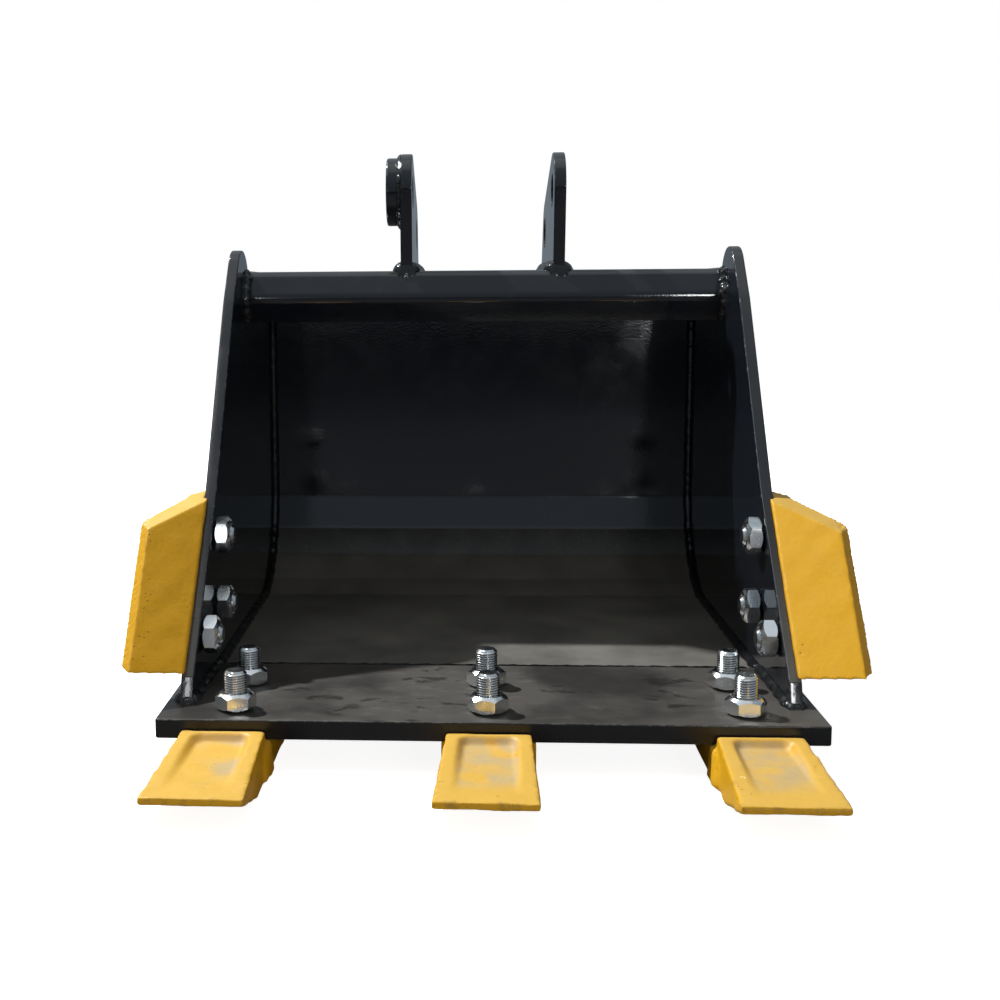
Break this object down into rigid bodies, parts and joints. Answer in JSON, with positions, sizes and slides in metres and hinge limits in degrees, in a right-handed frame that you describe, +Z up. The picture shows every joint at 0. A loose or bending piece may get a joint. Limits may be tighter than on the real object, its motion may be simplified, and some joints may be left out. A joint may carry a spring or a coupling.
{
  "type": "excavator bucket",
  "caption": "Digging bucket for a mini excavator: welded black shell with pin ears, bolt-on teeth and bolt-on side cutters.",
  "frame": {"origin": "middle of the arm pin's axis, halfway between the two ears", "axes": "+X to the right of someone who faces the open mouth, +Y from the mouth back to the rear wall, +Z up with the cutting edge level"},
  "size_m": [0.4604, 0.539, 0.39],
  "materials": {
    "black_paint": "gloss black enamel over welded plate",
    "scuffed_black_paint": "gloss black enamel, scuffed grey on top",
    "painted_weld": "gloss black enamel over weld beads",
    "yellow_paint": "satin golden-yellow paint over castings",
    "zinc_plate": "bright zinc plating"
  },
  "bodies": {
    "root": {"cutting_edge": "scuffed_black_paint", "wrapper_shell": "black_paint", "side_plate_left": "black_paint", "side_plate_right": "black_paint", "top_beam": "black_paint", "ear_left": "black_paint", "ear_right": "black_paint", "ear_boss_left": "black_paint", "tooth_left": "yellow_paint", "tooth_middle": "yellow_paint", "tooth_right": "yellow_paint", "tooth_bolts_left": "zinc_plate", "tooth_bolts_middle": "zinc_plate", "tooth_bolts_right": "zinc_plate", "tooth_nuts_left": "zinc_plate", "tooth_nuts_middle": "zinc_plate", "tooth_nuts_right": "zinc_plate", "side_cutter_left": "yellow_paint", "side_cutter_right": "yellow_paint", "cutter_bolts_left": "zinc_plate", "cutter_bolts_right": "zinc_plate", "cutter_nuts_left": "zinc_plate", "cutter_nuts_right": "zinc_plate", "weld_edge_top": "painted_weld", "weld_edge_under": "painted_weld", "weld_shell_inside_left": "painted_weld", "weld_shell_inside_right": "painted_weld", "weld_shell_outside_left": "painted_weld", "weld_shell_outside_right": "painted_weld", "weld_foot_left": "painted_weld", "weld_foot_right": "painted_weld", "weld_beam_left": "painted_weld", "weld_beam_right": "painted_weld", "weld_ear_left": "painted_weld", "weld_ear_right": "painted_weld", "weld_boss_left": "painted_weld"}
  },
  "joints": []
}
